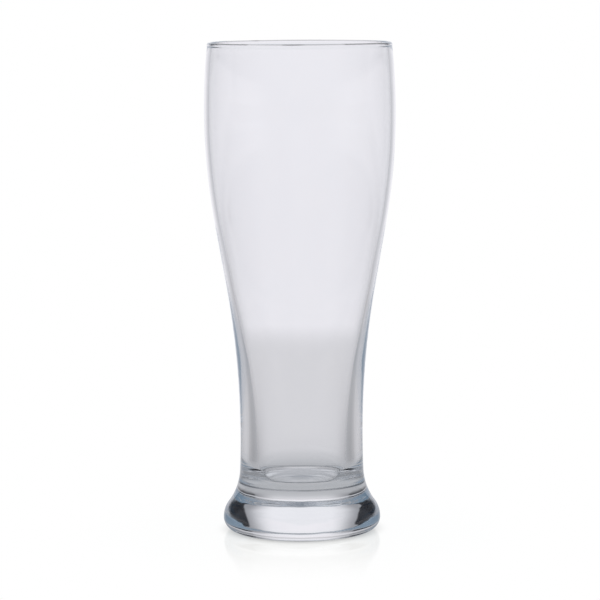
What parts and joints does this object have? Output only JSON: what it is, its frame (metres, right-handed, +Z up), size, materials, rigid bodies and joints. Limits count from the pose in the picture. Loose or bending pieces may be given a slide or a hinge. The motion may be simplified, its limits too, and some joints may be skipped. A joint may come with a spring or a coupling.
{
  "type": "weizen glass",
  "caption": "Tall waisted beer glass: a thin blown bowl that swells towards a rounded lip, fused onto a solid flared foot with a shallow hollow beneath.",
  "frame": {"origin": "on the glass's axis, in the plane that its foot stands on", "axes": "+Z up along the axis of revolution, from the foot to the lip; X and Y lie in the plane of the table"},
  "size_m": [0.0856, 0.0856, 0.22],
  "materials": {
    "bowl_glass": "clear, fire-polished",
    "foot_glass": "clear, pressed and fire-polished"
  },
  "bodies": {
    "root": {"bowl": "bowl_glass", "foot": "foot_glass"}
  },
  "joints": []
}
